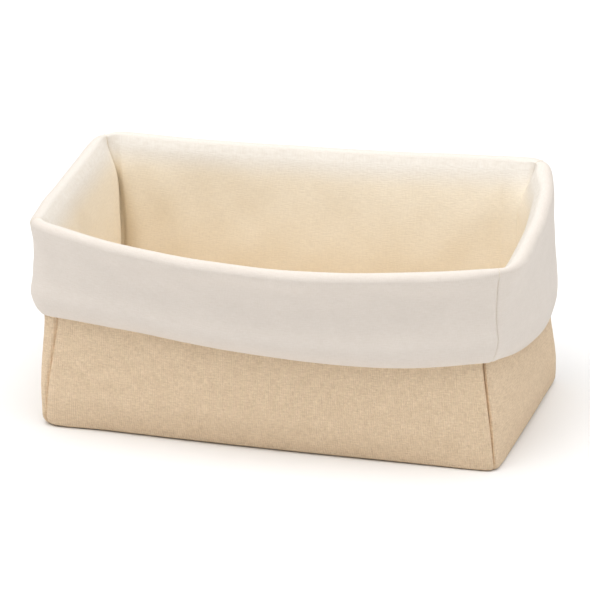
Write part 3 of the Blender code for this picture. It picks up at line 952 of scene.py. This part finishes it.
def thread_material(name, light, dark):
    """Twisted sewing thread."""
    material, tree, shader = new_material(name, roughness=0.7, sheen=0.2)
    uv, across, up = cloth_coordinates(tree)
    ply = weighted(tree, (up, 7000.0), (across, 3500.0))
    twist = calc(tree, "MULTIPLY", calc(tree, "ADD", calc(tree, "SINE", ply), 1.0), 0.5)
    colour = blend_colour(tree, twist, dark, light)
    finish_cloth(tree, shader, colour, twist, depth_mm=0.1, strength=0.5)
    return material


def wadding_material():
    """White polyester fleece."""
    material, tree, shader = new_material("wadding", roughness=1.0, sheen=0.3)
    uv, across, up = cloth_coordinates(tree)
    fibre = grain(tree, uv, 1.2, 0.4, detail=4.0, seed=2.0)
    tuft = grain(tree, uv, 9.0, 7.0, detail=2.0, seed=6.0)
    mixed = weighted(tree, (fibre, 0.6), (tuft, 0.4))
    colour = blend_colour(tree, mixed, srgb(214, 214, 212), srgb(252, 252, 250))
    finish_cloth(tree, shader, colour, mixed, depth_mm=0.8, strength=0.8)
    return material


def board_material():
    """Grey-brown pressed board with short fibres."""
    material, tree, shader = new_material("board", roughness=0.85, sheen=0.0)
    uv, across, up = cloth_coordinates(tree)
    fibre = grain(tree, uv, 3.5, 0.6, detail=4.0, seed=4.0)
    speck = grain(tree, uv, 1.1, 1.1, detail=1.0, seed=8.0)
    colour = blend_colour(tree, fibre, srgb(146, 120, 88), srgb(190, 164, 128))
    dark = mapped(tree, speck, 0.62, 0.72, high=0.5)
    colour = blend_colour(tree, dark, colour, srgb(104, 82, 58))
    finish_cloth(tree, shader, colour, fibre, depth_mm=0.2, strength=0.5)
    return material


# ---------------------------------------------------------------- the bin's pieces


def stretch_with_wall(piece):
    """The wall piece stays where it is, with its transform baked into its mesh."""
    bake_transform(piece)


def shorten_with_cuff(piece):
    """The hanging part of the cuff follows it, on a mesh of its own."""
    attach(piece, "cuff")
    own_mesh(piece)


def put_on(piece, part):
    if part == "wall":
        stretch_with_wall(piece)
    elif part == "roll":
        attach(piece, "cuff")
    else:
        shorten_with_cuff(piece)


# For each layer: its pieces in the wall and in the cuff, their nodes, and their slots.
LAYERS = {
    "lining": ("lining_{0}", "cuff_{0}", "lining_{0}_panel", "cuff_{0}", "lining_jersey", "cuff_jersey"),
    "shell": ("shell_{0}", "cuff_backing_{0}", "outer_{0}_panel", "cuff_{0}_backing",
              "shell_knit", "shell_knit"),
    "wadding": ("wall_wadding_{0}", "cuff_wadding_{0}", "{0}_wadding", "cuff_{0}_wadding",
                "wadding", "wadding"),
}


def declare_cloth(layer):
    if layer == "wadding":
        return


def build_layer(layer, side, material):
    """One side's cloth or wadding, as its wall, roll and hanging pieces."""
    grid = layer_grid(layer, side)
    rows, cuts = LAYER_ROWS[layer]
    ends = (0, cuts[0], cuts[1], len(rows) - 1)
    for k, part in enumerate(("wall", "roll", "fall")):
        # The lining's wall and roll share a row. In the other layers the roll starts on its own.
        start = ends[k] + (1 if k == 1 and layer != "lining" else 0)
        name, node, slot = LAYERS[layer][min(k, 1) :: 2]
        name = name.format(SIDES[side]) + ("" if part == "wall" else f"_{part}")
        piece = cloth_piece(name, grid, start, ends[k + 1], material, layer == "lining")
        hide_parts(node.format(SIDES[side]))
        put_on(piece, part)
        declare_cloth(layer)
    return grid, ends


def build_seams(layer, corner, grid, ends, material):
    """Stitches down one corner of a cloth, along the first column of the panel that starts there."""
    path = grid[0][:, 0]
    here = np.full(len(path), float(corner))
    out = wall_points(here, np.ones(len(path)), path[:, 2])
    flat = wall_points(here, np.zeros(len(path)), path[:, 2])
    name_of = CORNERS[corner]
    if layer == "shell":
        radius = THREAD_RADIUS
        lift = -0.5
        parts = (("wall", 0, ends[1], f"shell_seam_{name_of}", f"outer_{name_of}_seam"),)
    else:
        radius = FINE_THREAD_RADIUS
        lift = np.where(np.arange(len(path))[:, None] <= ends[1], -0.1, 0.1)
        parts = (
            ("wall", 0, ends[1], f"lining_seam_{name_of}", f"lining_{name_of}_seam"),
            ("roll", ends[1], ends[2], f"cuff_seam_{name_of}_roll", f"cuff_{name_of}_seam"),
            ("fall", ends[2], ends[3], f"cuff_seam_{name_of}_fall", f"cuff_{name_of}_seam"),
        )
    path = path + (out - flat) * lift
    for part, start, end, name, node in parts:
        piece = thread_piece(name, path[start : end + 1], material, radius)
        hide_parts(node)
        put_on(piece, part)


def ring_path(d, z):
    """A line round the bin, with its distance out and its height as functions of u and place."""
    place = np.linspace(0, LOOP_LENGTH, 700)
    u = u_of(place)
    return wall_points(u, d(u, place), z(u, place) + 0 * u)


def build_base(shell, lining, board, threads):
    base = plate_piece(
        "shell_base", lambda p: belly(p, 0.0) - edge_radius(p) - 0.1,
        bottom=0.1, top=1.1, material=shell, round_edge=0.35)
    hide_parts("outer_base_panel")
    stiff = plate_piece(
        "floor_board", lambda p: belly(p, 0.0) - 5.7,
        bottom=1.45, top=4.4, material=board, round_edge=0.5)
    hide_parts("base_board")
    inner = plate_piece(
        "lining_base", lambda p: belly(p, FLOOR_TOP) + LINING_IN - FILLET - 0.1,
        bottom=4.7, top=FLOOR_TOP, material=lining, round_edge=-0.2, sag=0.25, texture_from=(0.0, -400.0))
    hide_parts("lining_base_panel")
    for piece in (base, stiff, inner):
        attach(piece, "basket")
    low = thread_piece(
        "shell_base_seam",
        ring_path(lambda u, p: belly(p, 0.0) - edge_radius(p) + 0.2, lambda u, p: 0.7),
        threads[0], THREAD_RADIUS, closed=True)
    high = thread_piece(
        "lining_base_seam",
        ring_path(lambda u, p: belly(p, FLOOR_TOP) + LINING_IN - FILLET, lambda u, p: FLOOR_TOP),
        threads[1], THREAD_RADIUS, closed=True)
    seams = ((low, "outer_base_seam", "shell_thread"), (high, "lining_base_seam", "lining_thread"))
    for piece, node, slot in seams:
        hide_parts(node)
        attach(piece, "basket")


def build_hem_seam(material):
    path = ring_path(
        lambda u, p: (HEM_LEG + HEM_TOUCH) / 2 - 0.45 + wall_relief(p, lookup(HEM, u)),
        lambda u, p: lookup(HEM, u) + HEM_RADIUS + HEM_TURN_UP / 2)
    piece = thread_piece("hem_seam", path, material, THREAD_RADIUS, closed=True)
    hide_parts("cuff_hem_seam")
    shorten_with_cuff(piece)


def build_bin():
    shell = shell_material()
    lining = lining_material()
    wadding = wadding_material()
    board = board_material()
    # Painted shade: the shell's thread is dark brown so that the seam creases it lies in read dark; the
    # real thread matches the beige cloth.
    shell_thread = thread_material("shell_thread", srgb(116, 96, 76), srgb(66, 52, 40))
    lining_thread = thread_material("lining_thread", srgb(244, 236, 222), srgb(206, 192, 170))
    for side in range(4):
        grid, ends = build_layer("shell", side, shell)
        build_seams("shell", side, grid, ends, shell_thread)
        grid, ends = build_layer("lining", side, lining)
        build_seams("lining", side, grid, ends, lining_thread)
        build_layer("wadding", side, wadding)
    build_base(shell, lining, board, (shell_thread, lining_thread))
    build_hem_seam(lining_thread)


# ---------------------------------------------------------------- studio

CAMERA_AZIMUTH, CAMERA_ELEVATION = 15.74, 20.35
CAMERA_DISTANCE = 3.4365
CAMERA_LENS = 305.1
SENSOR = 36.0
AIM_HEIGHT = 0.075
AIM_RIGHT, AIM_UP = -0.0061, 0.0036

# The key is as wide as a softbox, in degrees. Each fill is (name, place, power).
KEY_PLACE, KEY_STRENGTH, KEY_WIDTH = (0.04, -0.12, 2.0), 2.55, 70.0
FILLS = (
    ("front", (-0.8, -1.7, 2.3), 13.0),
    ("right", (2.3, -0.3, 1.8), 12.0),
    ("left", (-2.3, -0.5, 1.8), 12.0),
)
FILL_TARGET, FILL_SIZE = (0, 0, 0.08), (1.6, 1.0)
WORLD_STRENGTH = 0.26


def build_camera():
    azimuth, elevation = math.radians(CAMERA_AZIMUTH), math.radians(CAMERA_ELEVATION)
    back = Vector((
        math.sin(azimuth) * math.cos(elevation),
        -math.cos(azimuth) * math.cos(elevation),
        math.sin(elevation),
    ))
    right = Vector((math.cos(azimuth), math.sin(azimuth), 0))
    up = back.cross(right)
    target = Vector((0, 0, AIM_HEIGHT)) + right * AIM_RIGHT + up * AIM_UP
    camera = bpy.data.cameras.new("camera")
    camera.lens = CAMERA_LENS
    camera.sensor_width = SENSOR
    camera.clip_end = 50.0
    bpy.context.scene.camera = aimed(camera, target + back * CAMERA_DISTANCE, target)


def aimed(data, place, target):
    """A camera or light at a place, facing a target."""
    obj = bpy.data.objects.new(data.name, data)
    obj.location = place
    obj.rotation_mode = "QUATERNION"
    obj.rotation_quaternion = (Vector(target) - Vector(place)).to_track_quat("-Z", "Y")
    bpy.context.collection.objects.link(obj)
    return obj


def add_light(name, kind, place, target, power):
    light = bpy.data.lights.new(name, kind)
    light.energy = power
    aimed(light, place, target)
    return light


def build_lights():
    """A wide overhead light and three soft fills."""
    add_light("key", "SUN", KEY_PLACE, (0, 0, 0), KEY_STRENGTH).angle = math.radians(KEY_WIDTH)
    for name, place, power in FILLS:
        light = add_light(name, "AREA", place, FILL_TARGET, power)
        light.shape = "RECTANGLE"
        light.size, light.size_y = FILL_SIZE
    world = bpy.data.worlds.new("studio")
    world.use_nodes = True
    background = world.node_tree.nodes["Background"]
    background.inputs["Color"].default_value = (1.0, 1.0, 1.0, 1.0)
    background.inputs["Strength"].default_value = WORLD_STRENGTH
    bpy.context.scene.world = world


def build_floor():
    bpy.ops.mesh.primitive_circle_add(vertices=96, radius=6.0, fill_type="NGON")
    floor = bpy.context.object
    floor.name = "studio_floor"
    material = bpy.data.materials.new("studio_floor")
    material.use_nodes = True
    tree = material.node_tree
    shader = tree.nodes["Principled BSDF"]
    noise = add_node(tree, "ShaderNodeTexNoise", {"Scale": 3.0, "Detail": 1.0})
    colour = blend_colour(tree, noise.outputs["Fac"], (0.90, 0.90, 0.90, 1.0), (0.92, 0.92, 0.92, 1.0))
    tree.links.new(colour, shader.inputs["Base Color"])
    shader.inputs["Roughness"].default_value = 0.9
    floor.data.materials.append(material)


build_bin()
build_camera()
build_floor()
build_lights()
bpy.context.scene.view_settings.view_transform = "Standard"
bpy.context.scene.view_settings.look = "None"
